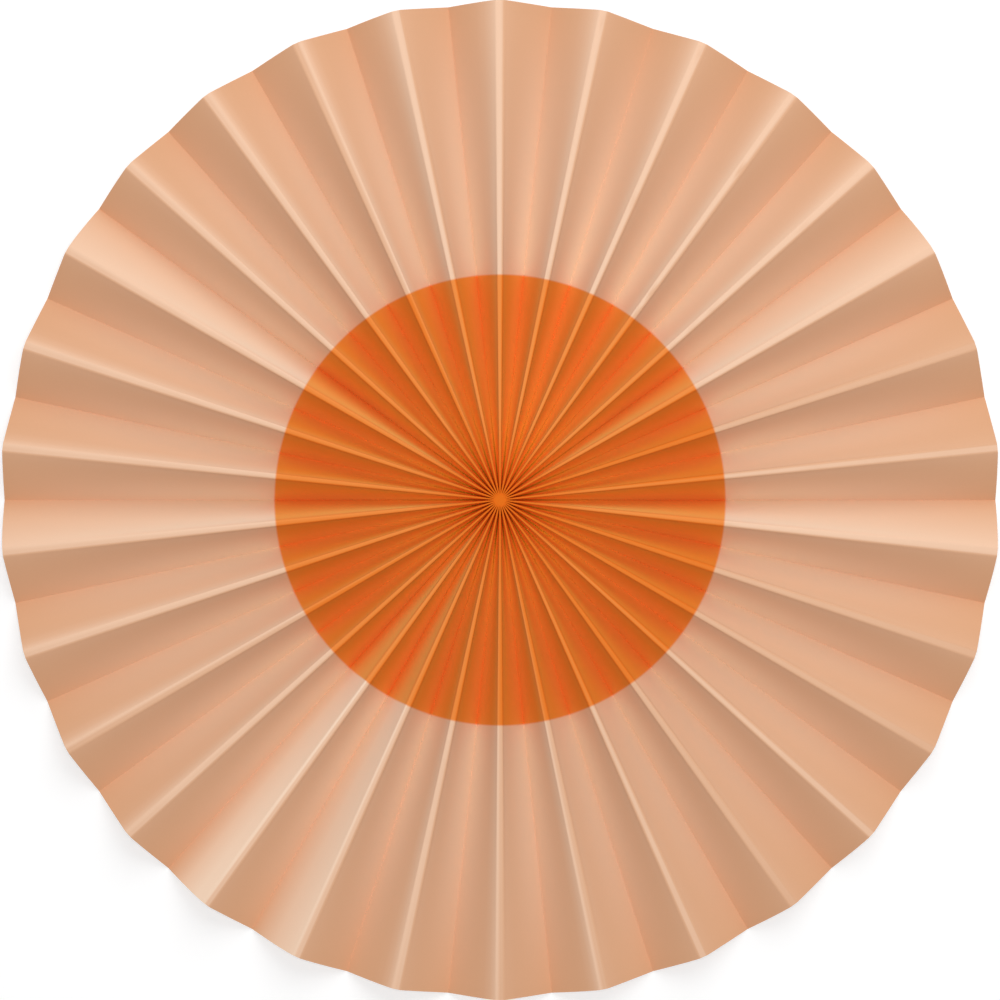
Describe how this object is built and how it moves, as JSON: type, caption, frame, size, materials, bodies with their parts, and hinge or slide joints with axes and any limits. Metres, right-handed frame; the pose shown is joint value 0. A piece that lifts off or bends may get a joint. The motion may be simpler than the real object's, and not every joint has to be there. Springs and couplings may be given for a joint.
{
  "type": "paper fan rosette",
  "caption": "Round paper fan rosette: a strip of light card folded into pleats and gathered to a glued centre, open to a flat-backed disc.",
  "frame": {"origin": "middle of the back, on the plane that the valley folds lie on", "axes": "+Z out of the pleated front, +Y along one ridge fold, the upper one in the picture, +X to its right"},
  "size_m": [0.3, 0.2998, 0.0183],
  "materials": {
    "two_tone_card": "matt uncoated light card, peach with an orange middle, printed on the front and plain peach on the back"
  },
  "bodies": {
    "root": {"pleated_sheet": "two_tone_card"}
  },
  "joints": []
}
